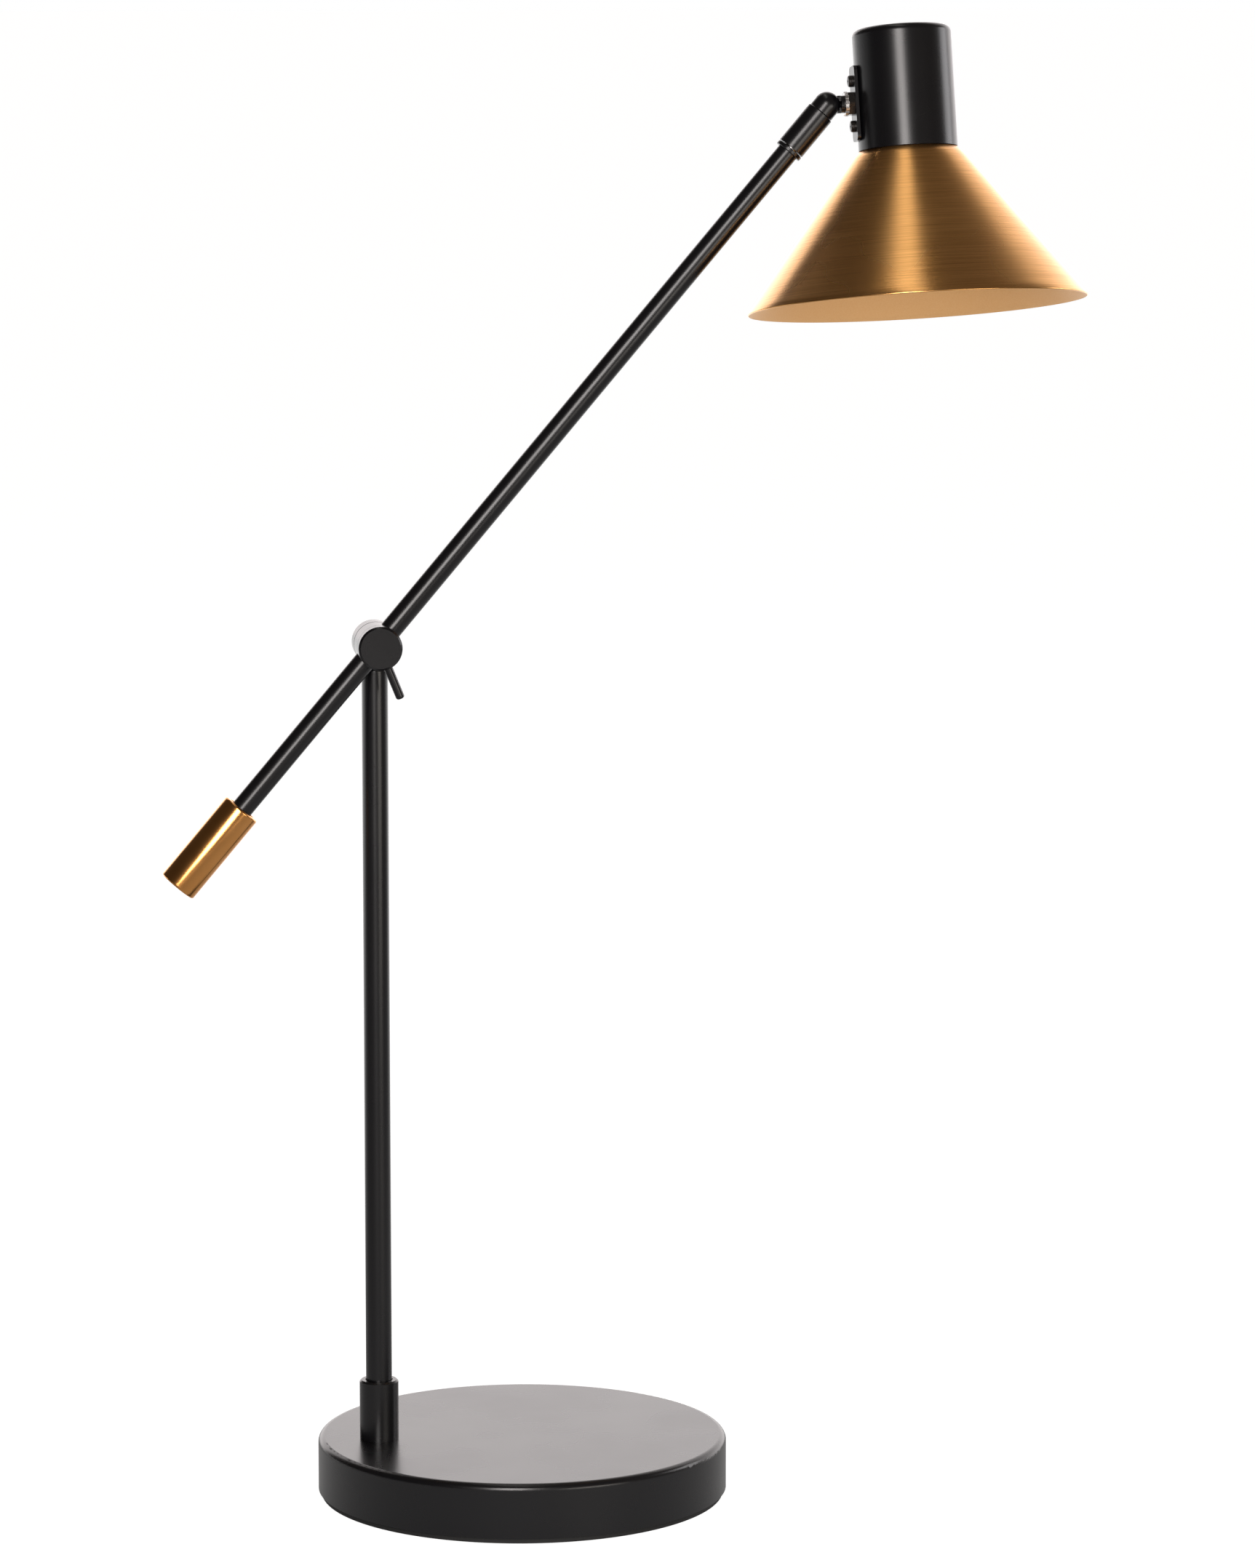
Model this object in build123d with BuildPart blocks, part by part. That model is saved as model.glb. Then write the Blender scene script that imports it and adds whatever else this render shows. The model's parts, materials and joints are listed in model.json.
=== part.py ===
from build123d import *
import os
from math import cos, radians, sin

# Swing arm desk lamp. Millimetres and degrees. The origin is the middle of the base's underside,
# +Z is up, +X points to the lamp head, and -Y is the side that the clamp knob is on.

# --- Driving dimensions -------------------------------------------------------------------------
# Base
base_radius = 95.0
base_height = 27.5
pad_radius = 93.5
pad_thickness = 2.5
cover_wall = 1.2
cover_edge = 3.0
plate_thickness = 2.0
weight_radius = 91.0
weight_thickness = 10.0
post_circle = 70.0
grommet_z = 17.5
grommet_bore = 3.25

# Stem
stem_x = -67.0
collar_radius = 9.0
collar_height = 28.0
stem_radius = 6.0
stem_bore = 5.0
neck_radius = 4.4
shoulder_round = 2.6
nipple_radius = 4.95
wire_radius = 1.6
wire_bore = 2.2

# Clamp, whose axis runs along Y
clamp_z = 399.8
drum_radius = 10.0
head_drum = 10.0
washer_thickness = 1.0
block_drum = 13.6
knob_drum = 6.5
lever_radius = 2.0
lever_reach = 25.0
lever_lean = 22.0
bolt_radius = 2.95

# Arm
arm_angle = 49.7
arm_radius = 5.0
arm_bore = 4.0
arm_length = 318.5
weight_near = 96.3
weight_far = 142.3
counterweight_radius = 9.0

# Swivel and knuckle
ring_radius = 6.5
ring_start = arm_length - 27.7
ring_width = 1.8
sleeve_start = arm_length - 25.4
knuckle_radius = 6.0
lap_gap = 0.15

# Head
head_tilt = 2.2
head_roll = 8.5
plate_near = 12.3
bracket_thickness = 1.5
bracket_width = 12.0
bracket_length = 34.0
screw_spacing = 20.5
cup_radius = 22.5
cup_top = 33.4
cup_bottom = -21.6
cup_wall = 1.0
shade_gap = 0.2
shade_rim = 77.5
shade_height = 70.8
shade_sheet = 1.14
socket_radius = 13.35

fit = 0.05  # radial clearance of a running or threaded fit

# --- Places worked out from them ----------------------------------------------------------------
base_top = base_height
collar_top = base_top + collar_height
cover_inside = base_top - cover_wall
weight_floor = pad_thickness + plate_thickness
weight_top = weight_floor + weight_thickness
ledge = base_top + 6.0
tube_foot = ledge + 0.8
shoulder = clamp_z - 10.4
tube_top = shoulder - 6.0

block_back = -head_drum / 2 - washer_thickness
arm_y = block_back - block_drum / 2
knob_back = block_back - block_drum - 0.3
knob_front = knob_back - knob_drum

arm_dir = Vector(cos(radians(arm_angle)), 0, sin(radians(arm_angle)))
clamp_point = Vector(stem_x, arm_y, clamp_z)
knuckle = clamp_point + arm_dir * arm_length
tongue_dir = Vector(cos(radians(head_tilt)), 0, sin(radians(head_tilt)))
upright = Vector(-sin(radians(head_tilt)), 0, cos(radians(head_tilt)))
cup_dir = upright * cos(radians(head_roll)) + Vector(0, sin(radians(head_roll)), 0)
cup_offset = plate_near + bracket_thickness + cup_radius
cup_point = knuckle + tongue_dir * cup_offset
shade_top = cup_bottom - shade_gap

stem_axis = Axis((stem_x, 0, 0), (0, 0, 1))
arm_axis = Axis(clamp_point, arm_dir)
tongue_axis = Axis(knuckle, tongue_dir)
cup_axis = Axis(cup_point, cup_dir)

# Half sections: local X runs out from the stem or along an arm, and local Y is the other way
stem_section = Plane(origin=(stem_x, 0, 0), x_dir=(1, 0, 0), z_dir=(0, -1, 0))
arm_section = Plane(origin=clamp_point, x_dir=arm_dir, z_dir=(0, -1, 0))
cup_section = Plane(origin=cup_point, x_dir=tongue_dir, z_dir=tongue_dir.cross(cup_dir))
tongue_section = Plane(origin=knuckle, x_dir=tongue_dir, z_dir=(0, -1, 0))
# Faces square to an axis
clamp_face = Plane(origin=(stem_x, 0, clamp_z), x_dir=(1, 0, 0), z_dir=(0, -1, 0))
arm_face = Plane(origin=clamp_point, x_dir=(0, 1, 0), z_dir=arm_dir)
tongue_face = Plane(origin=knuckle, x_dir=cup_dir.cross(tongue_dir), z_dir=tongue_dir)
cup_face = Plane(origin=cup_point, x_dir=tongue_dir, z_dir=cup_dir)

pieces = []


def finish(piece, label):
    """Name a finished piece and keep it for writing."""
    piece.part.label = label
    pieces.append(piece.part)


# --- Base ---------------------------------------------------------------------------------------
with BuildPart() as base_pad:
    with BuildSketch(Plane.XY):
        Circle(pad_radius)
    extrude(amount=pad_thickness)
finish(base_pad, "base_pad")

with BuildPart() as base_plate:
    with BuildSketch(Plane.XY.offset(pad_thickness)):
        Circle(base_radius - cover_wall - 0.3)
    extrude(amount=plate_thickness)
    with Locations(Plane(base_plate.faces().sort_by(Axis.Z)[0])):
        with PolarLocations(post_circle, 3):
            CounterSinkHole(1.6, 3.2)
finish(base_plate, "base_plate")

with BuildPart() as base_cover:
    with BuildSketch(Plane.XY.offset(pad_thickness)):
        Circle(base_radius)
    extrude(amount=base_height - pad_thickness)
    fillet(base_cover.edges().group_by(Axis.Z)[-1], cover_edge)
    offset(amount=-cover_wall, openings=base_cover.faces().sort_by(Axis.Z)[0])
    with Locations((stem_x, 0, base_top)):
        Hole(nipple_radius + fit)
    # cord hole in the rear wall
    with BuildSketch(Plane.XZ):
        with Locations((0, grommet_z)):
            Circle(4.5)
    extrude(amount=-base_radius, mode=Mode.SUBTRACT)
finish(base_cover, "base_cover")

with BuildPart() as base_weight:
    with BuildSketch(Plane.XY.offset(weight_floor)):
        Circle(weight_radius)
        with PolarLocations(post_circle, 3):
            Circle(1.8, mode=Mode.SUBTRACT)
        with Locations((stem_x, 0)):
            Circle(12, mode=Mode.SUBTRACT)
    extrude(amount=weight_thickness)
    chamfer(base_weight.edges().group_by(Axis.Z)[-1].sort_by(SortBy.LENGTH)[-1], 1.5)
finish(base_weight, "base_weight")

with BuildPart() as base_posts:
    with BuildSketch(Plane.XY.offset(weight_top)):
        with PolarLocations(post_circle, 3):
            Circle(4)
            Circle(1.5 + fit, mode=Mode.SUBTRACT)
    extrude(amount=cover_inside - weight_top)
finish(base_posts, "base_posts")

with BuildPart() as plate_screws:
    with BuildSketch(Plane.XY.offset(pad_thickness)):
        with PolarLocations(post_circle, 3):
            Circle(3.1)
    extrude(amount=1.6, taper=45)
    with BuildSketch(Plane.XY.offset(pad_thickness)):
        with PolarLocations(post_circle, 3):
            Circle(1.5)
    extrude(amount=18)
finish(plate_screws, "plate_screws")

with BuildPart() as cord_grommet:
    # flanges each side of the wall, and a neck through it
    with BuildSketch(Plane.XZ.offset(-base_radius)):
        with Locations((0, grommet_z)):
            Circle(6)
    extrude(amount=-1.2)
    with BuildSketch(Plane.XZ.offset(-92.3)):
        with Locations((0, grommet_z)):
            Circle(4.4)
    extrude(amount=-3.0)
    with BuildSketch(Plane.XZ.offset(-92.3)):
        with Locations((0, grommet_z)):
            Circle(6)
    extrude(amount=-1.1)
    with BuildSketch(Plane.XZ.offset(-92)):
        with Locations((0, grommet_z)):
            Circle(grommet_bore)
    extrude(amount=-6, mode=Mode.SUBTRACT)
finish(cord_grommet, "cord_grommet")

with BuildPart() as base_washer:
    with BuildSketch(Plane.XY.offset(cover_inside - 1.2)):
        with Locations((stem_x, 0)):
            Circle(10)
            Circle(nipple_radius + fit, mode=Mode.SUBTRACT)
    extrude(amount=1.2)
finish(base_washer, "base_washer")

with BuildPart() as base_nut:
    with BuildSketch(Plane.XY.offset(cover_inside - 6.2)):
        with Locations((stem_x, 0)):
            RegularPolygon(7, 6, major_radius=False)
            Circle(nipple_radius + fit, mode=Mode.SUBTRACT)
    extrude(amount=5)
finish(base_nut, "base_nut")

with BuildPart() as base_nipple:
    with BuildSketch(Plane.XY.offset(weight_top + 4)):
        with Locations((stem_x, 0)):
            Circle(nipple_radius)
            Circle(3.5, mode=Mode.SUBTRACT)
    extrude(amount=31)
finish(base_nipple, "base_nipple")

with BuildPart() as stem_collar:
    with BuildSketch(Plane.XY.offset(base_top)):
        with Locations((stem_x, 0)):
            Circle(collar_radius)
    extrude(amount=collar_height)
    chamfer(stem_collar.edges().group_by(Axis.Z)[-1], 0.8)
    with Locations((stem_x, 0, collar_top)):
        CounterBoreHole(nipple_radius + fit, stem_radius + 0.35, collar_top - ledge)
    # tapped hole for the grub screw, at the rear
    with BuildSketch(Plane.XZ):
        with Locations((stem_x, base_top + 18)):
            Circle(1.5 + fit)
    extrude(amount=-collar_radius - 1, mode=Mode.SUBTRACT)
finish(stem_collar, "stem_collar")

with BuildPart() as collar_grub_screw:
    with BuildSketch(Plane.XZ.offset(-stem_radius - 0.5)):
        with Locations((stem_x, base_top + 18)):
            Circle(1.5)
    extrude(amount=-2.2)
finish(collar_grub_screw, "collar_grub_screw")

with BuildPart() as stem_thrust_washer:
    with BuildSketch(Plane.XY.offset(ledge)):
        with Locations((stem_x, 0)):
            Circle(stem_radius + 0.2)
            Circle(nipple_radius + 0.1, mode=Mode.SUBTRACT)
    extrude(amount=tube_foot - ledge)
finish(stem_thrust_washer, "stem_thrust_washer")

# --- Stem ---------------------------------------------------------------------------------------
with BuildPart() as stem_tube:
    with BuildSketch(Plane.XY.offset(tube_foot)):
        with Locations((stem_x, 0)):
            Circle(stem_radius)
            Circle(stem_bore, mode=Mode.SUBTRACT)
    extrude(amount=tube_top - tube_foot)
finish(stem_tube, "stem_tube")

neck_top = clamp_z - 7.5
with BuildPart() as stem_plug:
    with BuildSketch(stem_section):
        with BuildLine():
            # rounded shoulder under the clamp
            ThreePointArc(
                (stem_radius, shoulder - shoulder_round),
                (stem_radius - 0.5, shoulder - 1.0),
                (neck_radius + 0.2, shoulder),
            )
            Polyline(
                (neck_radius + 0.2, shoulder),
                (neck_radius, shoulder),
                (neck_radius, neck_top),
                (wire_bore, neck_top),
                (wire_bore, tube_top - 15),
                (stem_bore - fit, tube_top - 15),
                (stem_bore - fit, tube_top),
                (stem_radius, tube_top),
                (stem_radius, shoulder - shoulder_round),
            )
        make_face()
    revolve(axis=stem_axis)
finish(stem_plug, "stem_plug")

with BuildPart() as stem_head:
    with BuildSketch(clamp_face.offset(-head_drum / 2)):
        Circle(drum_radius)
    extrude(amount=head_drum)
    chamfer(stem_head.edges().group_by(Axis.Y)[-1], 0.5)
    with BuildSketch(clamp_face.offset(-3)):
        Circle(bolt_radius + fit)
    extrude(amount=head_drum, mode=Mode.SUBTRACT)
    # ring shaped space that the wire crosses in, joined to the neck
    with BuildSketch(clamp_face.offset(head_drum / 2 - 4)):
        Circle(7.2)
        Circle(4.2, mode=Mode.SUBTRACT)
    extrude(amount=4, mode=Mode.SUBTRACT)
    with BuildSketch(Plane.XY.offset(clamp_z - drum_radius - 1)):
        with Locations((stem_x, 0)):
            Circle(neck_radius + fit)
    extrude(amount=neck_top - clamp_z + drum_radius + 1, mode=Mode.SUBTRACT)
    with BuildSketch(Plane.XY.offset(neck_top)):
        with Locations((stem_x, 0)):
            Circle(wire_bore)
    extrude(amount=3, mode=Mode.SUBTRACT)
finish(stem_head, "stem_head")

with BuildPart() as stem_wire:
    with BuildSketch(Plane.XY.offset(weight_top + 5)):
        with Locations((stem_x, 0)):
            Circle(wire_radius)
    extrude(amount=neck_top + 2 - weight_top - 5)
finish(stem_wire, "stem_wire")

with BuildPart() as clamp_washer:
    with BuildSketch(clamp_face.offset(head_drum / 2)):
        Circle(drum_radius - 0.5)
        Circle(7.4, mode=Mode.SUBTRACT)
    extrude(amount=washer_thickness)
finish(clamp_washer, "clamp_washer")

# --- Arm ----------------------------------------------------------------------------------------
stud_hole = 5.2
tube_start = 8.4
with BuildPart() as arm_block:
    with BuildSketch(clamp_face.offset(-block_back)):
        Circle(drum_radius)
        Circle(bolt_radius + fit, mode=Mode.SUBTRACT)
    extrude(amount=block_drum)
    with BuildSketch(clamp_face.offset(-block_back)):
        Circle(7.2)
        Circle(4.2, mode=Mode.SUBTRACT)
    extrude(amount=3.5, mode=Mode.SUBTRACT)
    # a hole for a stud on each side, opened out where the tube enters the block
    for start in (stud_hole, -drum_radius - 1):
        with BuildSketch(arm_face.offset(start)):
            Circle(arm_bore)
        extrude(amount=drum_radius + 1 - stud_hole, mode=Mode.SUBTRACT)
    for start in (tube_start - fit, -drum_radius - 1):
        with BuildSketch(arm_face.offset(start)):
            Circle(arm_radius + fit)
        extrude(amount=drum_radius + 1 - tube_start + fit, mode=Mode.SUBTRACT)
finish(arm_block, "arm_block")

stud_radius = arm_bore - fit
with BuildPart() as upper_arm_stud:
    with BuildSketch(arm_face.offset(5.5)):
        Circle(stud_radius)
        Circle(wire_bore, mode=Mode.SUBTRACT)
    extrude(amount=20.5)
finish(upper_arm_stud, "upper_arm_stud")

with BuildPart() as lower_arm_stud:
    with BuildSketch(arm_face.offset(-26)):
        Circle(stud_radius)
    extrude(amount=20.5)
finish(lower_arm_stud, "lower_arm_stud")

with BuildPart() as upper_arm_tube:
    with BuildSketch(arm_face.offset(tube_start)):
        Circle(arm_radius)
        Circle(arm_bore, mode=Mode.SUBTRACT)
    extrude(amount=ring_start - tube_start)
finish(upper_arm_tube, "upper_arm_tube")

lower_end = weight_near + 16
with BuildPart() as lower_arm_tube:
    with BuildSketch(arm_face.offset(-lower_end)):
        Circle(arm_radius)
        Circle(arm_bore, mode=Mode.SUBTRACT)
    extrude(amount=lower_end - tube_start)
finish(lower_arm_tube, "lower_arm_tube")

with BuildPart() as arm_wire:
    with BuildSketch(arm_face.offset(6)):
        Circle(wire_radius)
    extrude(amount=ring_start + 10)
finish(arm_wire, "arm_wire")

with BuildPart() as counterweight:
    with BuildSketch(arm_section):
        with BuildLine():
            Polyline(
                (-weight_far, 0),
                (-weight_far, counterweight_radius),
                (-weight_near, counterweight_radius),
                (-weight_near, 6.6),
                (-weight_near - 0.8, 6.6),
                (-weight_near - 0.8, arm_radius + fit),
                (-lower_end - 0.2, arm_radius + fit),
                (-lower_end - 0.2, 3.0 + fit),
                (-lower_end - 18, 3.0 + fit),
                (-lower_end - 18, 0),
                close=True,
            )
        make_face()
    revolve(axis=arm_axis)
    rims = counterweight.edges().filter_by(GeomType.CIRCLE)
    fillet(rims.filter_by(lambda edge: edge.radius > 7), 1.0)
finish(counterweight, "counterweight")

with BuildPart() as counterweight_stud:
    with BuildSketch(arm_face.offset(-lower_end)):
        Circle(stud_radius)
    extrude(amount=14)
    with BuildSketch(arm_face.offset(-lower_end - 16)):
        Circle(3.0)
    extrude(amount=16)
finish(counterweight_stud, "counterweight_stud")

journal_radius = 3.2
spindle_end = arm_length - 11.7
ring_end = ring_start + ring_width
with BuildPart() as swivel_ring:
    with BuildSketch(arm_face.offset(ring_start)):
        Circle(ring_radius)
        Circle(arm_bore, mode=Mode.SUBTRACT)
    extrude(amount=ring_width)
    rims = swivel_ring.edges().filter_by(GeomType.CIRCLE)
    chamfer(rims.filter_by(lambda edge: edge.radius > arm_bore + 1), 0.25)
finish(swivel_ring, "swivel_ring")

with BuildPart() as swivel_spindle:
    with BuildSketch(arm_face.offset(ring_start - 19)):
        Circle(stud_radius)
    extrude(amount=ring_end - ring_start + 19)
    with BuildSketch(arm_face.offset(ring_end)):
        Circle(journal_radius)
    extrude(amount=spindle_end - ring_end)
    with BuildSketch(arm_face.offset(ring_start - 19)):
        Circle(wire_bore)
    extrude(amount=spindle_end - ring_start + 19, mode=Mode.SUBTRACT)
finish(swivel_spindle, "swivel_spindle")

with BuildPart() as swivel_retainer:
    with BuildSketch(arm_face.offset(spindle_end - 3.7)):
        Circle(4.5)
        Circle(journal_radius + 0.02, mode=Mode.SUBTRACT)
    extrude(amount=2)
finish(swivel_retainer, "swivel_retainer")

# --- Clamp knob, lever and bolt -----------------------------------------------------------------
knob_middle = (knob_back + knob_front) / 2
lever_dir = Vector(sin(radians(lever_lean)), 0, -cos(radians(lever_lean)))
lever_origin = Vector(stem_x, knob_middle, clamp_z)
lever_face = Plane(origin=lever_origin, x_dir=(0, 1, 0), z_dir=lever_dir)

with BuildPart() as clamp_knob:
    with BuildSketch(clamp_face.offset(-knob_back)):
        Circle(drum_radius)
    extrude(amount=knob_drum)
    chamfer(clamp_knob.edges().group_by(Axis.Y)[0], 0.9)
    with BuildSketch(clamp_face.offset(-knob_back)):
        Circle(bolt_radius + fit)
    extrude(amount=4, mode=Mode.SUBTRACT)
    with BuildSketch(lever_face.offset(7)):
        Circle(lever_radius)
    extrude(amount=6, mode=Mode.SUBTRACT)
finish(clamp_knob, "clamp_knob")

with BuildPart() as clamp_lever:
    with BuildSketch(lever_face.offset(7)):
        Circle(lever_radius)
    extrude(amount=lever_reach - 7)
    tip = clamp_lever.edges().sort_by(Axis.Z)[0]
    fillet(tip, 1.2)
finish(clamp_lever, "clamp_lever")

with BuildPart() as clamp_bolt:
    with BuildSketch(clamp_face.offset(-2)):
        Circle(bolt_radius)
    extrude(amount=2 - knob_back + 4)
finish(clamp_bolt, "clamp_bolt")

# --- Turning sleeve and fixed half of the knuckle -----------------------------------------------
sleeve_end = arm_length - 6.8
with BuildPart() as swivel_sleeve:
    with BuildSketch(arm_section):
        with BuildLine():
            Polyline(
                (sleeve_start, journal_radius + fit),
                (sleeve_start, ring_radius),
                (sleeve_end, ring_radius),
                (sleeve_end, 4.9),
                (spindle_end - 4.0, 4.9),
                (spindle_end - 4.0, journal_radius + fit),
                close=True,
            )
        make_face()
    revolve(axis=arm_axis)
finish(swivel_sleeve, "swivel_sleeve")

spigot_start = spindle_end + 1.0
with BuildPart() as knuckle_lug:
    with BuildSketch(arm_section):
        with BuildLine():
            Polyline(
                (arm_length + knuckle_radius, 0),
                (spigot_start, 0),
                (spigot_start, 4.9 - fit),
                (sleeve_end, 4.9 - fit),
                (sleeve_end, ring_radius),
                (arm_length - 4.8, ring_radius),
                (arm_length - 4.3, knuckle_radius),
                (arm_length, knuckle_radius),
            )
            ThreePointArc(
                (arm_length, knuckle_radius),
                (arm_length + knuckle_radius * cos(radians(45)), knuckle_radius * sin(radians(45))),
                (arm_length + knuckle_radius, 0),
            )
        make_face()
    revolve(axis=arm_axis)
    # the rear half is cut away for the tongue
    with BuildSketch(arm_section.offset(lap_gap)):
        with Locations((arm_length - 6.5, 0)):
            Rectangle(20, 20, align=(Align.MIN, Align.CENTER))
    extrude(amount=-20, mode=Mode.SUBTRACT)
    with BuildSketch(arm_face.offset(spindle_end)):
        Circle(wire_bore)
    extrude(amount=9, mode=Mode.SUBTRACT)
    with BuildSketch(tongue_section):
        Circle(1.5 + fit)
    extrude(amount=4.2, mode=Mode.SUBTRACT)
finish(knuckle_lug, "knuckle_lug")

with BuildPart() as knuckle_screw:
    with BuildSketch(tongue_section.offset(-3)):
        Circle(1.5)
    extrude(amount=7)
    with BuildSketch(tongue_section.offset(-5)):
        Circle(2.7)
    extrude(amount=2)
finish(knuckle_screw, "knuckle_screw")

# --- Tongue -------------------------------------------------------------------------------------
stub_radius = 4.0
stub_thread = 3.0
washer_start = 8.0
nut_start = 9.5
stub_end = 18.0
with BuildPart() as knuckle_tongue:
    # a ball that runs into the stub, with the front half cut away for the fixed half
    shoulder_x = (knuckle_radius**2 - stub_radius**2) ** 0.5
    with BuildSketch(tongue_section):
        with BuildLine():
            ThreePointArc((-knuckle_radius, 0), (0, knuckle_radius), (shoulder_x, stub_radius))
            Polyline(
                (shoulder_x, stub_radius),
                (washer_start, stub_radius),
                (washer_start, stub_thread),
                (stub_end, stub_thread),
                (stub_end, 0),
                (-knuckle_radius, 0),
            )
        make_face()
    revolve(axis=tongue_axis)
    with BuildSketch(tongue_section.offset(-lap_gap)):
        with Locations((knuckle_radius + 0.3, 0)):
            Rectangle(30, 30, align=(Align.MAX, Align.CENTER))
    extrude(amount=20, mode=Mode.SUBTRACT)
    with BuildSketch(tongue_face.offset(knuckle_radius - 1.5)):
        Circle(1.5)
    extrude(amount=16, mode=Mode.SUBTRACT)
    with BuildSketch(tongue_section):
        Circle(1.5 + fit)
    extrude(amount=-8, mode=Mode.SUBTRACT)
    with BuildSketch(tongue_section.offset(-3)):
        Circle(2.8)
    extrude(amount=-6, mode=Mode.SUBTRACT)
finish(knuckle_tongue, "knuckle_tongue")

tooth_count = 12
with BuildPart() as toothed_washer:
    with BuildSketch(tongue_face.offset(washer_start)):
        Circle(4.9)
        with PolarLocations(4.9, tooth_count):
            Rectangle(1.3, 1.2)
        Circle(stub_thread + fit, mode=Mode.SUBTRACT)
    extrude(amount=nut_start - washer_start)
finish(toothed_washer, "toothed_washer")

with BuildPart() as stub_nut:
    with BuildSketch(tongue_face.offset(nut_start)):
        RegularPolygon(5.0, 6, major_radius=False)
        Circle(stub_thread + fit, mode=Mode.SUBTRACT)
    extrude(amount=plate_near - nut_start)
finish(stub_nut, "stub_nut")

with BuildPart() as stub_retainer:
    with BuildSketch(tongue_face.offset(15.4)):
        Circle(4.2)
        Circle(stub_thread + fit, mode=Mode.SUBTRACT)
    extrude(amount=2.2)
finish(stub_retainer, "stub_retainer")

# --- Head ---------------------------------------------------------------------------------------
screw_places = [(0, screw_spacing / 2), (0, -screw_spacing / 2)]
cup_near = plate_near + bracket_thickness
with BuildPart() as bracket_plate:
    with BuildSketch(tongue_face.offset(plate_near)):
        RectangleRounded(bracket_width, bracket_length, 2.5)
        Circle(stub_thread + fit, mode=Mode.SUBTRACT)
        with Locations(*screw_places):
            Circle(1.5 + fit, mode=Mode.SUBTRACT)
    extrude(amount=bracket_thickness)
finish(bracket_plate, "bracket_plate")

with BuildPart() as bracket_screws:
    with BuildSketch(tongue_face.offset(plate_near - 2)):
        with Locations(*screw_places):
            Circle(2.65)
    extrude(amount=2)
    fillet(bracket_screws.edges().sort_by(tongue_axis)[:2], 0.7)
    with BuildSketch(tongue_face.offset(plate_near)):
        with Locations(*screw_places):
            Circle(1.5)
    extrude(amount=6.2)
finish(bracket_screws, "bracket_screws")

with BuildPart() as socket_cup:
    with BuildSketch(cup_face.offset(cup_bottom)):
        Circle(cup_radius)
    extrude(amount=cup_top - cup_bottom)
    fillet(socket_cup.edges().sort_by(cup_axis)[-1], 3.0)
    offset(amount=-cup_wall, openings=socket_cup.faces().sort_by(cup_axis)[0])
    with BuildSketch(tongue_face.offset(cup_near - 1)):
        Circle(stub_thread + fit)
        with Locations(*screw_places):
            Circle(1.5 + fit)
    extrude(amount=4, mode=Mode.SUBTRACT)
finish(socket_cup, "socket_cup")

bridge_near = cup_near + 1.9
holder_top = 14.5
with BuildPart() as lampholder_bridge:
    with BuildSketch(tongue_face.offset(bridge_near)):
        with Locations((0, 1.5)):
            Rectangle(bracket_width, 29)
        Circle(4.6, mode=Mode.SUBTRACT)
        with Locations(*screw_places):
            Circle(1.5 + fit, mode=Mode.SUBTRACT)
    extrude(amount=1.5)
    with BuildSketch(cup_face.offset(holder_top)):
        with Locations((bridge_near - cup_offset, 0)):
            Rectangle(32, bracket_width, align=(Align.MIN, Align.CENTER))
        Circle(3, mode=Mode.SUBTRACT)
        with Locations((-8, 0), (8, 0)):
            Circle(1.5 + fit, mode=Mode.SUBTRACT)
    extrude(amount=1.5)
finish(lampholder_bridge, "lampholder_bridge")

with BuildPart() as bridge_screws:
    with BuildSketch(cup_face.offset(holder_top - 6)):
        with Locations((-8, 0), (8, 0)):
            Circle(1.5)
    extrude(amount=7.5)
    with BuildSketch(cup_face.offset(holder_top + 1.5)):
        with Locations((-8, 0), (8, 0)):
            Circle(2.65)
    extrude(amount=1.8)
finish(bridge_screws, "bridge_screws")

holder_mouth = -36.0
holder_floor = -8.0
flange = 1.0
with BuildPart() as lampholder:
    with BuildSketch(cup_section):
        with BuildLine():
            Polyline(
                (0, holder_top),
                (17.0, holder_top),
                (17.0, -14.0),
                (19.5, -14.0),
                (19.5, -18.8),
                (21.3, -18.8),
                (21.3, shade_top),
                (19.5, shade_top),
                (19.5, holder_mouth),
                (socket_radius + 0.65, holder_mouth),
                (socket_radius + 0.65, holder_floor),
                (0, holder_floor),
                close=True,
            )
        make_face()
    revolve(axis=cup_axis)
    with BuildSketch(cup_face.offset(holder_top)):
        with Locations((-8, 0), (8, 0)):
            Circle(1.5 + fit)
    extrude(amount=-6.5, mode=Mode.SUBTRACT)
finish(lampholder, "lampholder")

with BuildPart() as lampholder_shell:
    with BuildSketch(cup_face.offset(holder_mouth + 2)):
        Circle(socket_radius + 0.6)
        Circle(socket_radius, mode=Mode.SUBTRACT)
    extrude(amount=24)
finish(lampholder_shell, "lampholder_shell")

with BuildPart() as lampholder_contact:
    with BuildSketch(cup_face.offset(holder_floor - 1.5)):
        Circle(4)
    extrude(amount=1.5)
finish(lampholder_contact, "lampholder_contact")

with BuildPart() as shade_ring:
    with BuildSketch(cup_face.offset(shade_top - flange - 4)):
        Circle(21.7)
        Circle(19.5 + fit, mode=Mode.SUBTRACT)
    extrude(amount=4)
finish(shade_ring, "shade_ring")

shade_neck = cup_radius + 0.2
slope = (shade_rim - shade_neck) / shade_height
with BuildPart() as shade:
    with BuildSketch(cup_section):
        with BuildLine():
            Polyline(
                (19.8, shade_top),
                (shade_neck, shade_top),
                (shade_rim, shade_top - shade_height),
                (shade_rim - shade_sheet, shade_top - shade_height),
                (shade_neck + slope * flange - shade_sheet, shade_top - flange),
                (19.8, shade_top - flange),
                close=True,
            )
        make_face()
    revolve(axis=cup_axis)
finish(shade, "shade")

# --- Write each piece ---------------------------------------------------------------------------
os.makedirs("parts", exist_ok=True)
for piece in pieces:
    export_step(piece, f"parts/{piece.label}.step")
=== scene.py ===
"""Looks of the swing arm desk lamp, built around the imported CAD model."""

import json
import math

import bmesh
import bpy
from mathutils import Matrix, Vector

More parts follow.
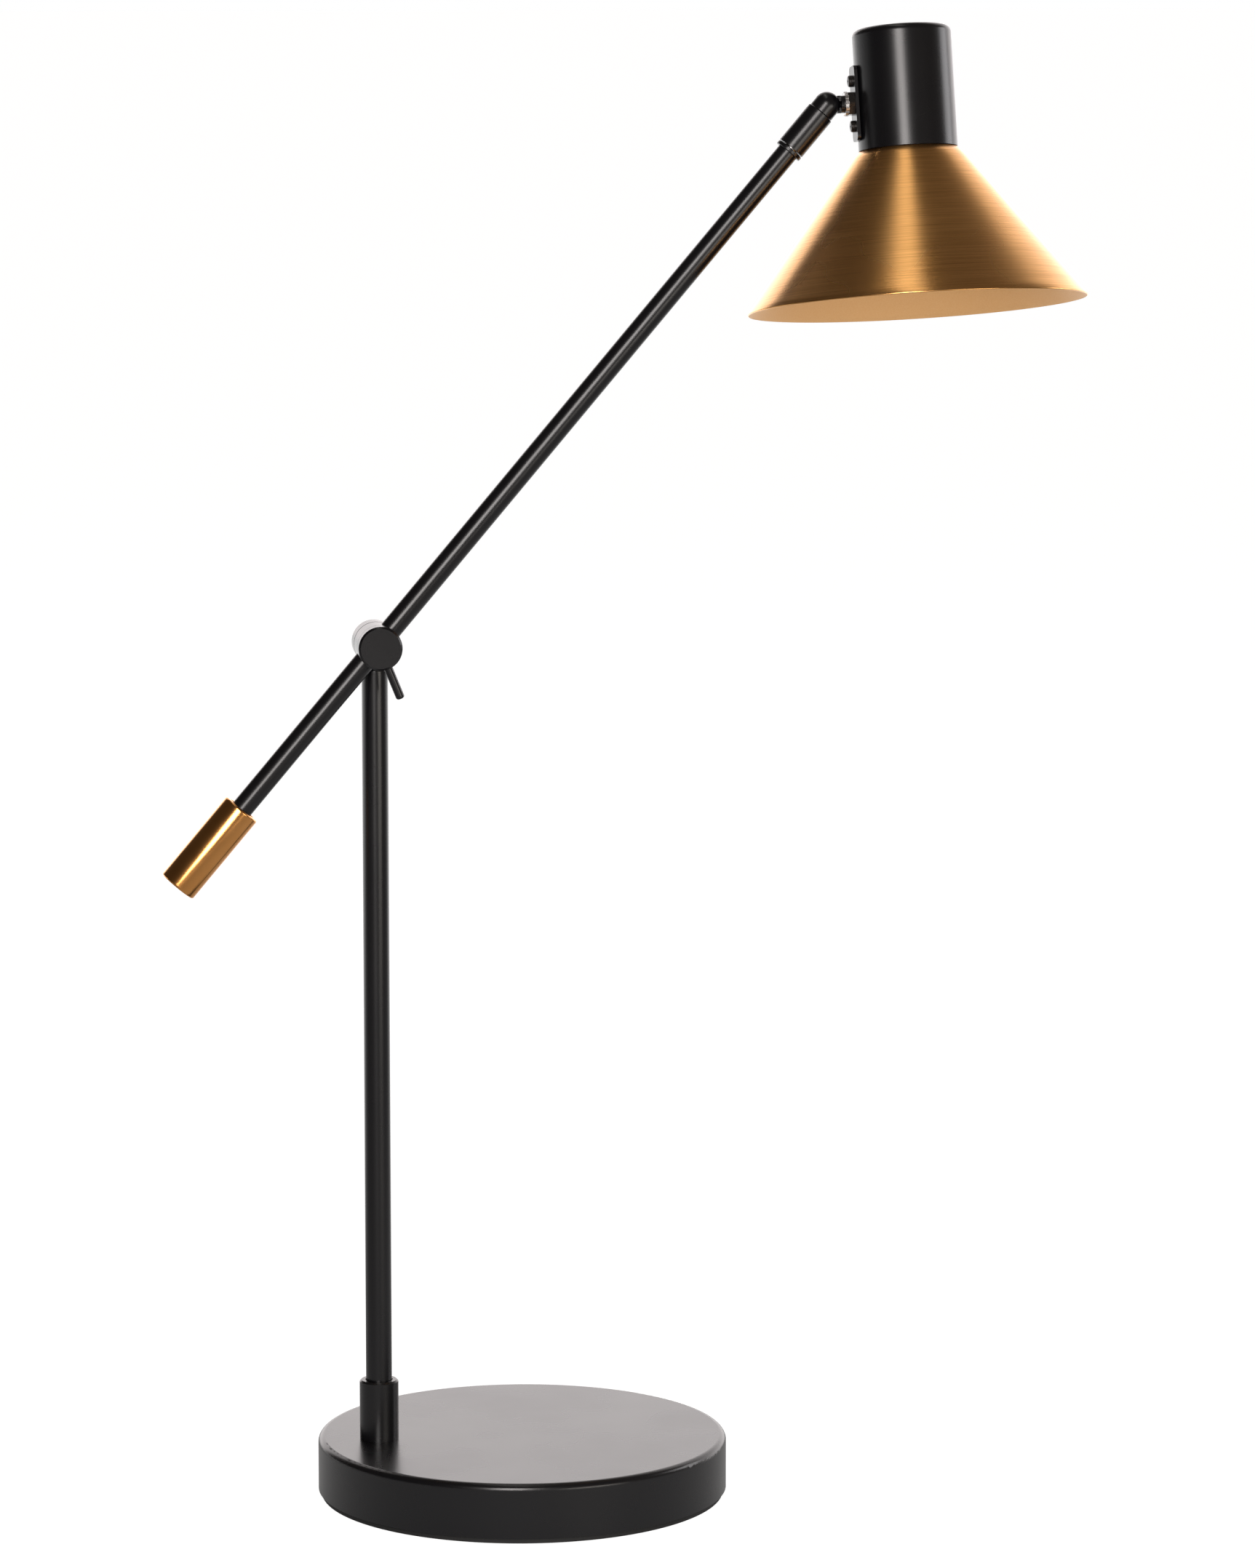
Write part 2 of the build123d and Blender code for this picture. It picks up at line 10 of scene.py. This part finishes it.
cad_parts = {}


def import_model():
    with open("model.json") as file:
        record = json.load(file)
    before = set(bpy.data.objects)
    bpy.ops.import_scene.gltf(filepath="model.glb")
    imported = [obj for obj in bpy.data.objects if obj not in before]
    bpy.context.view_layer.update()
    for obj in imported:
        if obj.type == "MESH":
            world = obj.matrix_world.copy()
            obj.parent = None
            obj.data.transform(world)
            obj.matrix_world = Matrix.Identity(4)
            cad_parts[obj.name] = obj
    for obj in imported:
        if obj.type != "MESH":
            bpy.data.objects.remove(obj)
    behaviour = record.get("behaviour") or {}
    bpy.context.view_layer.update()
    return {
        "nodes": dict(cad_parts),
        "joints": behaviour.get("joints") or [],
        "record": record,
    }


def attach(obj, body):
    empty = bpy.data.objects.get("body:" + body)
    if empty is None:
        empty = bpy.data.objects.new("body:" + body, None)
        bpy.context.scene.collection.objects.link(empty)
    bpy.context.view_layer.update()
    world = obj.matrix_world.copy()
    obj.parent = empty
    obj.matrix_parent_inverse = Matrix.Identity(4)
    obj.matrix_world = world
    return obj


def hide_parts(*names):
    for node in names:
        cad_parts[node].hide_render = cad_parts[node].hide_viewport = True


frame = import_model()
nodes = frame["nodes"]

MM = 0.001
# nearly all values of a noise texture lie between these two
NOISE_LOW, NOISE_HIGH = 0.3, 0.7

# places and directions of the lamp, read from the frame
joints = {joint["name"]: joint for joint in frame["joints"]}
mounts = {mount["name"]: mount for mount in frame["record"]["mounts"]}
knuckle = Vector(joints["head_roll"]["pos_m"])
tongue_dir = Vector(joints["head_roll"]["axis"])
arm_dir = Vector(joints["head_swivel"]["axis"])
clamp = Vector(joints["arm_tilt"]["pos_m"])
cup_dir = -Vector(mounts["bulb_socket"]["axis"])
socket_mouth = Vector(mounts["bulb_socket"]["pos_m"])


def new_object(name, mesh):
    """A mesh object linked to the scene."""
    piece = bpy.data.objects.new(name, mesh)
    bpy.context.scene.collection.objects.link(piece)
    return piece


def axis_matrix(origin, direction):
    """A placement at origin whose local Z is direction and whose local X leans to the back."""
    up = Vector(direction).normalized()
    back = (Vector((0, 1, 0)) - up * up.y).normalized()
    axes = Matrix((back, up.cross(back), up)).transposed()
    return Matrix.Translation(origin) @ axes.to_4x4()


def ring_of(form, radii, height):
    """A ring of vertices about Z, with one radius for each step round; lengths in mm."""
    ring = []
    for step, radius in enumerate(radii):
        angle = 2 * math.pi * step / len(radii)
        across = radius * MM * math.cos(angle)
        along = radius * MM * math.sin(angle)
        ring.append(form.verts.new((across, along, height * MM)))
    return ring


def placed(form, name, origin, direction):
    """An object made from a bmesh, with its faces turned outwards and its Z along direction."""
    bmesh.ops.recalc_face_normals(form, faces=form.faces)
    mesh = bpy.data.meshes.new(name)
    form.to_mesh(mesh)
    form.free()
    piece = new_object(name, mesh)
    piece.matrix_world = axis_matrix(origin, direction)
    return piece


def lathe(name, origin, direction, profile, segments, slots=None):
    """A turned piece. The profile is a closed loop of (radius, height) points in mm, slots holds
    the material slot of each of its rows, and UV is (turn, metres along the profile)."""
    form = bmesh.new()
    uv_layer = form.loops.layers.uv.new("turn")
    rings = [ring_of(form, [radius] * segments, height) for radius, height in profile]
    run = [0.0]
    for first, second in zip(profile, profile[1:] + profile[:1]):
        run.append(run[-1] + math.dist(first, second))
    for row, (lower, upper) in enumerate(zip(rings, rings[1:] + rings[:1])):
        for step in range(segments):
            after = (step + 1) % segments
            face = form.faces.new((lower[step], lower[after], upper[after], upper[step]))
            face.smooth = True
            face.material_index = slots[row] if slots else 0
            turns = (step, step + 1, step + 1, step)
            runs = (run[row], run[row], run[row + 1], run[row + 1])
            for loop, turn, length in zip(face.loops, turns, runs):
                loop[uv_layer].uv = (turn / segments, length * MM)
    return placed(form, name, origin, direction)


# --- Material building --------------------------------------------------------------------------
def start_material(name, colour, roughness, metallic=0.0):
    """A node material with its shader's plain values set."""
    material = bpy.data.materials.new(name)
    material.use_nodes = True
    shader = material.node_tree.nodes["Principled BSDF"]
    shader.inputs["Base Color"].default_value = (*colour, 1)
    shader.inputs["Roughness"].default_value = roughness
    shader.inputs["Metallic"].default_value = metallic
    return material, material.node_tree, shader


def add_node(tree, kind, **values):
    """A node with some of its inputs or properties set."""
    node = tree.nodes.new(kind)
    for key, value in values.items():
        if hasattr(node, key):
            setattr(node, key, value)
        else:
            node.inputs[key.replace("_", " ").title()].default_value = value
    return node


def noise(tree, source, scale, detail=3.0, roughness=0.5):
    """The value of a noise texture that is read at a vector output."""
    texture = add_node(tree, "ShaderNodeTexNoise", scale=scale, detail=detail, roughness=roughness)
    tree.links.new(source, texture.inputs["Vector"])
    return texture.outputs["Fac"]


def coordinates(tree, kind="Object", stretch=(1, 1, 1)):
    """A stretched coordinate vector."""
    source = add_node(tree, "ShaderNodeTexCoord")
    mapping = add_node(tree, "ShaderNodeMapping")
    mapping.inputs["Scale"].default_value = stretch
    tree.links.new(source.outputs[kind], mapping.inputs["Vector"])
    return mapping.outputs["Vector"]


def spread(tree, source, low, high, out_low, out_high):
    """Maps a value's range onto another."""
    node = add_node(tree, "ShaderNodeMapRange")
    node.inputs["From Min"].default_value = low
    node.inputs["From Max"].default_value = high
    node.inputs["To Min"].default_value = out_low
    node.inputs["To Max"].default_value = out_high
    tree.links.new(source, node.inputs["Value"])
    return node.outputs["Result"]


def tint(tree, source, low, high):
    """Colour between two tones, driven by a value."""
    node = add_node(tree, "ShaderNodeMix", data_type="RGBA")
    sockets = [socket for socket in node.inputs if socket.type == "RGBA"]
    sockets[0].default_value = (*low, 1)
    sockets[1].default_value = (*high, 1)
    tree.links.new(source, node.inputs["Factor"])
    return [socket for socket in node.outputs if socket.type == "RGBA"][0]


def vary_colour(tree, shader, source, low, high):
    """Drives the shader's colour between two tones."""
    tree.links.new(tint(tree, source, low, high), shader.inputs["Base Color"])


def vary_roughness(tree, shader, source, low, high):
    """Drives the shader's roughness with a noise."""
    varied = spread(tree, source, NOISE_LOW, NOISE_HIGH, low, high)
    tree.links.new(varied, shader.inputs["Roughness"])


def bump(tree, shader, height, strength, distance):
    """Adds a height to the shader's normal, on top of any bump already there."""
    node = add_node(tree, "ShaderNodeBump")
    node.inputs["Strength"].default_value = strength
    node.inputs["Distance"].default_value = distance
    tree.links.new(height, node.inputs["Height"])
    if shader.inputs["Normal"].is_linked:
        tree.links.new(shader.inputs["Normal"].links[0].from_socket, node.inputs["Normal"])
    tree.links.new(node.outputs["Normal"], shader.inputs["Normal"])


# --- Materials ----------------------------------------------------------------------------------
def black_paint():
    """Satin black powder coat with a slight orange peel."""
    material, tree, shader = start_material("black_paint", (0.0042, 0.0041, 0.005), 0.27)
    shader.inputs["IOR"].default_value = 1.5
    place = coordinates(tree)
    peel = noise(tree, place, scale=380, detail=2.0)
    cloud = noise(tree, place, scale=25)
    vary_roughness(tree, shader, cloud, 0.26, 0.285)
    vary_colour(tree, shader, cloud, (0.0036, 0.0035, 0.0046), (0.0048, 0.0046, 0.0056))
    bump(tree, shader, peel, strength=0.03, distance=0.0001)
    return material


def brushed_brass():
    """Lacquered brass brushed round the cone: fine lines over broader streaks of two tones."""
    material, tree, shader = start_material("brushed_brass", (0.78, 0.41, 0.14), 0.27, 1.0)
    shader.inputs["Anisotropic"].default_value = 0.6
    # a quarter turn, so that the highlight spreads across the brushing
    shader.inputs["Anisotropic Rotation"].default_value = 0.25
    close_lines = coordinates(tree, "UV", (6, 4200, 1))
    broad_lines = coordinates(tree, "UV", (7, 1300, 1))
    fine = noise(tree, close_lines, scale=1.0, detail=4.0, roughness=0.65)
    streaks = noise(tree, broad_lines, scale=1.0, detail=4.0, roughness=0.7)
    cloud = noise(tree, coordinates(tree), scale=18, detail=2.0)
    tone = spread(tree, streaks, NOISE_LOW, NOISE_HIGH, 0, 1)
    vary_colour(tree, shader, tone, (0.64, 0.32, 0.1), (0.91, 0.49, 0.175))
    vary_roughness(tree, shader, cloud, 0.25, 0.3)
    bump(tree, shader, fine, strength=0.3, distance=0.00004)
    bump(tree, shader, streaks, strength=0.15, distance=0.00008)
    return material


def satin_gold():
    """Inside of the shade: pale gold paint with a fine sand texture."""
    material, tree, shader = start_material("satin_gold", (0.93, 0.56, 0.24), 0.5, 0.12)
    place = coordinates(tree)
    sand = noise(tree, place, scale=1500, detail=2.0, roughness=0.7)
    cloud = noise(tree, place, scale=30, detail=2.0)
    vary_colour(tree, shader, sand, (0.88, 0.49, 0.19), (0.97, 0.62, 0.29))
    vary_roughness(tree, shader, cloud, 0.44, 0.56)
    bump(tree, shader, sand, strength=0.3, distance=0.0001)
    return material


def polished_brass():
    """Turned and polished brass with deep brown reflections."""
    material, tree, shader = start_material("polished_brass", (0.74, 0.34, 0.1), 0.19, 1.0)
    turned = noise(tree, coordinates(tree, "UV", (3, 4000, 1)), scale=1.0)
    cloud = noise(tree, coordinates(tree), scale=90)
    vary_colour(tree, shader, cloud, (0.69, 0.31, 0.085), (0.79, 0.38, 0.125))
    vary_roughness(tree, shader, cloud, 0.17, 0.21)
    bump(tree, shader, turned, strength=0.1, distance=0.00002)
    return material


def zinc_steel():
    """Zinc plated steel with faint machining."""
    material, tree, shader = start_material("zinc_steel", (0.6, 0.59, 0.58), 0.32, 1.0)
    marks = noise(tree, coordinates(tree), scale=900)
    vary_colour(tree, shader, marks, (0.5, 0.49, 0.49), (0.68, 0.67, 0.66))
    vary_roughness(tree, shader, marks, 0.26, 0.4)
    bump(tree, shader, marks, strength=0.15, distance=0.00004)
    return material


def black_steel():
    """Black oxide on small fasteners."""
    material, tree, shader = start_material("black_steel", (0.03, 0.026, 0.024), 0.3, 0.7)
    marks = noise(tree, coordinates(tree), scale=1200)
    vary_colour(tree, shader, marks, (0.022, 0.019, 0.018), (0.045, 0.04, 0.037))
    vary_roughness(tree, shader, marks, 0.24, 0.38)
    return material


def cast_iron():
    """Rough grey casting."""
    material, tree, shader = start_material("cast_iron", (0.08, 0.078, 0.075), 0.75, 0.6)
    rough = noise(tree, coordinates(tree), scale=500, detail=5.0, roughness=0.7)
    vary_colour(tree, shader, rough, (0.05, 0.048, 0.046), (0.12, 0.115, 0.11))
    bump(tree, shader, rough, strength=0.6, distance=0.0004)
    return material


def rubber():
    """Matt black rubber."""
    material, tree, shader = start_material("black_rubber", (0.01, 0.01, 0.01), 0.7)
    grain = noise(tree, coordinates(tree), scale=900)
    vary_colour(tree, shader, grain, (0.008, 0.008, 0.008), (0.014, 0.014, 0.014))
    bump(tree, shader, grain, strength=0.3, distance=0.0001)
    return material


def moulded_plastic():
    """Black moulded plastic with a fine spark texture."""
    material, tree, shader = start_material("moulded_plastic", (0.02, 0.02, 0.02), 0.45)
    spark = noise(tree, coordinates(tree), scale=1400, detail=2.0)
    vary_colour(tree, shader, spark, (0.016, 0.016, 0.016), (0.026, 0.026, 0.026))
    bump(tree, shader, spark, strength=0.2, distance=0.00008)
    return material


def contact_brass():
    """Bright brass of the lampholder's thread."""
    material, tree, shader = start_material("contact_brass", (0.72, 0.52, 0.25), 0.22, 1.0)
    marks = noise(tree, coordinates(tree), scale=700)
    vary_colour(tree, shader, marks, (0.62, 0.43, 0.19), (0.8, 0.6, 0.31))
    bump(tree, shader, marks, strength=0.1, distance=0.00003)
    return material


materials = {
    "black_paint": black_paint(),
    "zinc_steel": zinc_steel(),
    "black_steel": black_steel(),
    "cast_iron": cast_iron(),
    "black_rubber": rubber(),
    "friction_plastic": moulded_plastic(),
    "polished_brass": polished_brass(),
    "brushed_brass": brushed_brass(),
    "satin_gold": satin_gold(),
    "contact_brass": contact_brass(),
}
# painted shade: a near-black colour for the plates that stand in for the shade inside the bracket
# screws' cross recesses
materials["painted_recess_shade"] = start_material("painted_recess_shade", (0.004, 0.004, 0.004), 0.8)[0]
materials["holder_plastic"] = materials["friction_plastic"]
materials["wire_sheath"] = materials["friction_plastic"]


def dress_nodes():
    """Gives each CAD node the material of its slot, and the head's small fasteners black oxide."""
    for part in frame["record"]["subparts"]:
        mesh = nodes[part["node"]].data
        mesh.materials.clear()
        mesh.materials.append(materials[part["material_slot"]])
    for name in ("bracket_screws", "knuckle_screw", "stub_nut"):
        nodes[name].data.materials[0] = materials["black_steel"]


# --- Pieces -------------------------------------------------------------------------------------
def shade():
    """The cone, with its turned-in neck, rounded lip, brushed outside and painted inside."""
    neck, rim, height, sheet = 22.7, 77.5, 70.8, 0.9
    # the flange that is turned in at the neck, and the small corner under it
    flange_hole, flange_edge, flange_thickness, flange_corner = 19.8, 22.3, 0.95, 0.6
    # the cone's outer face ends this far short of the rim, where the rounded lip starts
    lip_back, lip_up = 0.25, 0.3
    # the neck lies this far above the lampholder's mouth
    neck_height = 12.2
    cone_rows, lip_rows = 24, 6
    segments = 256

    slope = math.atan2(height, rim - neck)
    across = Vector((math.sin(slope), math.cos(slope)))
    top, bottom = Vector((neck, 0.0)), Vector((rim, -height))
    outer = [top.lerp(bottom, step / cone_rows) for step in range(cone_rows + 1)]
    outer[-1] = outer[-1] - Vector((lip_back, -lip_up))
    inner = [point - across * sheet for point in reversed(outer)]
    inner[-1] = Vector((inner[-1].x + flange_corner, -flange_thickness))
    lip_centre = (outer[-1] + inner[0]) / 2
    lip_start = math.atan2(across.y, across.x)
    lip = []
    for step in range(1, lip_rows):
        angle = lip_start - math.pi * step / lip_rows
        lip.append(lip_centre + Vector((math.cos(angle), math.sin(angle))) * sheet / 2)
    flange_top = [Vector((flange_hole, 0.0)), Vector((flange_edge, 0.0))]
    flange_bottom = [Vector((flange_hole, -flange_thickness))]
    profile = flange_top + outer[1:] + lip + inner + flange_bottom
    points = [(point.x, point.y) for point in profile]
    # the brushed outside ends half way round the lip
    outside_rows = len(flange_top) + cone_rows + lip_rows // 2
    slots = [0 if row < outside_rows else 1 for row in range(len(points))]

    origin = socket_mouth + cup_dir * neck_height * MM
    piece = lathe("shade_cone", origin, cup_dir, points, segments, slots)
    piece.data.materials.append(materials["brushed_brass"])
    piece.data.materials.append(materials["satin_gold"])
    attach(piece, "head")
    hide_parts("shade")


def counterweight():
    """The turned brass weight: a rounded cylinder, recessed where the arm enters it."""
    # distances of its two ends from the clamp, down the arm
    near, far = 96.3, 142.3
    radius, round_edge, round_steps = 9.0, 1.0, 6
    recess_radius, recess_depth = 6.6, 0.8
    bore_radius, bore_depth = 5.05, 16.0
    # a hole too narrow to show runs down the middle, so that every row of the profile is a ring
    centre_hole = 0.02
    segments = 160

    edge = radius - round_edge
    corner = [math.pi / 2 * step / round_steps for step in range(round_steps + 1)]
    profile = [(centre_hole, -far)]
    for angle in corner:
        out, along = math.sin(angle), 1 - math.cos(angle)
        profile.append((edge + round_edge * out, -far + round_edge * along))
    for angle in corner:
        out, along = math.cos(angle), 1 - math.sin(angle)
        profile.append((edge + round_edge * out, -near - round_edge * along))
    profile += [
        (recess_radius, -near),
        (recess_radius, -near - recess_depth),
        (bore_radius, -near - recess_depth),
        (bore_radius, -near - bore_depth),
        (centre_hole, -near - bore_depth),
    ]
    piece = lathe("weight_body", clamp, arm_dir, profile, segments)
    piece.data.materials.append(materials["polished_brass"])
    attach(piece, "arm")
    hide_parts("counterweight")


def threaded_shell():
    """The lampholder's brass shell, with the rolled thread that takes the bulb."""
    inner, outer, length = 13.3, 13.9, 24.0
    pitch, depth = 3.6, 0.42
    # the thread fades out over this length at each end
    run_out = 1.5
    around, along = 96, 84

    form = bmesh.new()
    rows = []
    for row in range(along + 1):
        height = length * row / along
        fade = min(1.0, height / run_out, (length - height) / run_out)
        radii = []
        for step in range(around):
            angle = 2 * math.pi * step / around
            wave = 0.5 - 0.5 * math.cos(2 * math.pi * height / pitch - angle)
            radii.append(inner - depth * wave * fade)
        rows.append(ring_of(form, radii, height))
    for height in (length, 0.0):
        rows.append(ring_of(form, [outer] * around, height))
    for lower, upper in zip(rows, rows[1:] + rows[:1]):
        for step in range(around):
            after = (step + 1) % around
            face = form.faces.new((lower[step], lower[after], upper[after], upper[step]))
            face.smooth = True
    piece = placed(form, "socket_thread", socket_mouth, cup_dir)
    piece.data.materials.append(materials["contact_brass"])
    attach(piece, "head")
    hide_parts("lampholder_shell")


def cross_shade_plate(name, place, outward, body):
    """Painted shade of the cross cut in a pan head: a thin near-black plate set on it."""
    arm, half, thick = 1.35, 0.32, 0.04
    outline = [
        (half, half), (half, arm), (-half, arm), (-half, half), (-arm, half), (-arm, -half),
        (-half, -half), (-half, -arm), (half, -arm), (half, -half), (arm, -half), (arm, half),
    ]
    form = bmesh.new()
    face = form.faces.new([form.verts.new((x * MM, y * MM, 0)) for x, y in outline])
    raised = bmesh.ops.extrude_face_region(form, geom=[face])
    lifted = [item for item in raised["geom"] if isinstance(item, bmesh.types.BMVert)]
    bmesh.ops.translate(form, vec=(0, 0, thick * MM), verts=lifted)
    piece = placed(form, name, place, outward)
    piece.data.materials.append(materials["painted_recess_shade"])
    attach(piece, body)


def screw_recess_shades():
    """Painted shade in the cross recesses of the two bracket screws."""
    # the pan heads' faces, from the knuckle along the tongue and to either side of its stub
    face_distance, side_distance = 10.3, 10.25
    # how far the plates are let into the heads
    sunk = 0.03
    for number, sign in enumerate((1, -1)):
        along = tongue_dir * (face_distance + sunk) * MM
        aside = cup_dir * sign * side_distance * MM
        cross_shade_plate(f"bracket_recess_shade_{number}", knuckle + along + aside, -tongue_dir, "head")


# --- Floor, light and camera --------------------------------------------------------------------
def floor():
    """Floor that the camera sees as plain white. What the lamp sees of it is a painted pool of
    light: the floor glows, falling off with the distance from a point behind the lamp, and sweeps
    up into the bright wall behind."""
    half_side = 60
    corners = [(x * half_side, y * half_side, 0) for x, y in ((-1, -1), (1, -1), (1, 1), (-1, 1))]
    mesh = bpy.data.meshes.new("floor")
    mesh.from_pydata(corners, [], [(0, 1, 2, 3)])
    piece = new_object("floor", mesh)
    # clear of the pad's underside, so that the two faces don't coincide
    piece.location.z = -0.2 * MM
    material, tree, shader = start_material("floor_white", (0.3, 0.3, 0.3), 0.9)
    shader.inputs["Specular IOR Level"].default_value = 0.0
    shader.inputs["Emission Color"].default_value = (1, 1, 1, 1)
    geometry = add_node(tree, "ShaderNodeNewGeometry")
    reach = add_node(tree, "ShaderNodeVectorMath", operation="DISTANCE")
    reach.inputs[1].default_value = (0.2, 0.3, 0)
    tree.links.new(geometry.outputs["Position"], reach.inputs[0])
    # painted pool of light: the floor's glow, brightest near a point behind the lamp
    lit = spread(tree, reach.outputs["Value"], 0.4, 1.3, 0.28, 0.04)
    split = add_node(tree, "ShaderNodeSeparateXYZ")
    tree.links.new(geometry.outputs["Position"], split.inputs["Vector"])
    sweep = add_node(tree, "ShaderNodeMath", operation="ADD")
    tree.links.new(lit, sweep.inputs[0])
    tree.links.new(spread(tree, split.outputs["Y"], 0.25, 1.3, 0.0, 1.5), sweep.inputs[1])
    path = add_node(tree, "ShaderNodeLightPath")
    seen = add_node(tree, "ShaderNodeMix")
    tree.links.new(path.outputs["Is Camera Ray"], seen.inputs[0])
    tree.links.new(sweep.outputs["Value"], seen.inputs[2])
    seen.inputs[3].default_value = 0.92
    tree.links.new(seen.outputs[0], shader.inputs["Emission Strength"])
    mesh.materials.append(material)


def facing(tree, split, azimuth, soft_low, soft_high):
    """1 for the world directions on azimuth's side of a vertical plane and 0 for the others, with
    a soft edge between; azimuth is in degrees and turns right from +Y."""
    along_x = add_node(tree, "ShaderNodeMath", operation="MULTIPLY")
    along_x.inputs[1].default_value = math.sin(math.radians(azimuth))
    tree.links.new(split.outputs["X"], along_x.inputs[0])
    along = add_node(tree, "ShaderNodeMath", operation="MULTIPLY_ADD")
    along.inputs[1].default_value = math.cos(math.radians(azimuth))
    tree.links.new(split.outputs["Y"], along.inputs[0])
    tree.links.new(along_x.outputs["Value"], along.inputs[2])
    return spread(tree, along.outputs["Value"], soft_low, soft_high, 0.0, 1.0)


def product(tree, *values):
    """The product of several values."""
    total = values[0]
    for value in values[1:]:
        node = add_node(tree, "ShaderNodeMath", operation="MULTIPLY")
        tree.links.new(total, node.inputs[0])
        tree.links.new(value, node.inputs[1])
        total = node.outputs["Value"]
    return total


def world():
    """A bright wall behind and a dark warm room elsewhere; the camera itself sees plain white."""
    # the wall spans 32 degrees to the left of +Y and 62 to the right, ends about 50 degrees above
    # the horizon and is brightest near the floor
    left_end, right_end, soft_edge = -32, 62, 0.12
    scene_world = bpy.data.worlds.new("studio")
    bpy.context.scene.world = scene_world
    scene_world.use_nodes = True
    tree = scene_world.node_tree
    tree.nodes.clear()
    source = add_node(tree, "ShaderNodeTexCoord")
    split = add_node(tree, "ShaderNodeSeparateXYZ")
    tree.links.new(source.outputs["Generated"], split.inputs["Vector"])
    left_edge = facing(tree, split, left_end + 90, 0.0, soft_edge)
    right_edge = facing(tree, split, right_end - 90, 0.0, soft_edge)
    below = spread(tree, split.outputs["Z"], 0.66, 0.84, 1.0, 0.0)
    low = spread(tree, split.outputs["Z"], 0.2, 0.5, 2.05, 1.15)
    wall = product(tree, left_edge, right_edge, below, low)
    # the room is darkest on the left
    room = spread(tree, split.outputs["X"], -1, 1, 0.045, 0.15)
    level = add_node(tree, "ShaderNodeMath", operation="ADD")
    tree.links.new(wall, level.inputs[0])
    tree.links.new(room, level.inputs[1])
    tent = add_node(tree, "ShaderNodeBackground")
    tree.links.new(level.outputs["Value"], tent.inputs["Strength"])
    tree.links.new(tint(tree, wall, (1, 0.86, 0.74), (1, 0.945, 0.94)), tent.inputs["Color"])
    white = add_node(tree, "ShaderNodeBackground")
    white.inputs["Color"].default_value = (1, 1, 1, 1)
    path = add_node(tree, "ShaderNodeLightPath")
    mix = add_node(tree, "ShaderNodeMixShader")
    tree.links.new(path.outputs["Is Camera Ray"], mix.inputs["Fac"])
    tree.links.new(tent.outputs["Background"], mix.inputs[1])
    tree.links.new(white.outputs["Background"], mix.inputs[2])
    output = add_node(tree, "ShaderNodeOutputWorld")
    tree.links.new(mix.outputs["Shader"], output.inputs["Surface"])


def softbox(name, place, aim, width, height, power, colour):
    """An area light that faces along aim. Without an aim it faces straight down, and its height
    lies along Y."""
    light = bpy.data.lights.new(name, "AREA")
    light.shape = "RECTANGLE"
    light.size = width
    light.size_y = height
    light.energy = power
    light.color = colour
    holder = bpy.data.objects.new(name, light)
    bpy.context.scene.collection.objects.link(holder)
    turn = Vector(aim).to_track_quat("-Z", "Y").to_matrix().to_4x4() if aim else Matrix()
    holder.matrix_world = Matrix.Translation(place) @ turn


def lights():
    """A strip in front, one overhead, a low fill for the shade's inside and a box to the right."""
    softbox(
        "front_strip", place=(-0.55, -2.2, 1.0), aim=(0.25, 1, -0.15),
        width=0.7, height=1.35, power=36, colour=(1, 0.95, 0.93),
    )
    softbox(
        "top_strip", place=(-0.09, 0, 2.4), aim=None,
        width=0.36, height=1.6, power=2.6, colour=(1, 0.97, 0.92),
    )
    softbox(
        "low_fill", place=(1.2, -2.0, 0.25), aim=(-0.45, 0.87, 0.14),
        width=1.2, height=0.7, power=11, colour=(1, 0.94, 0.86),
    )
    softbox(
        "right_box", place=(2.45, 0.5, 1.0), aim=(-1, -0.2, -0.12),
        width=1.0, height=0.9, power=11, colour=(1, 0.98, 1),
    )


def camera():
    """The view: a long lens, a little above the lamp and turned slightly towards its head."""
    look_down, look_right = 8.15, 8.68
    lens_data = bpy.data.cameras.new("camera")
    lens_data.lens = 134.9
    lens_data.sensor_width = 36
    lens_data.clip_end = 200
    holder = bpy.data.objects.new("camera", lens_data)
    holder.location = (-0.3546, -2.6479, 0.7156)
    holder.rotation_euler = (math.radians(90 - look_down), 0, math.radians(-look_right))
    bpy.context.scene.collection.objects.link(holder)
    bpy.context.scene.camera = holder


camera()
dress_nodes()
shade()
counterweight()
threaded_shell()
screw_recess_shades()
floor()
world()
lights()
bpy.context.scene.view_settings.view_transform = "Standard"
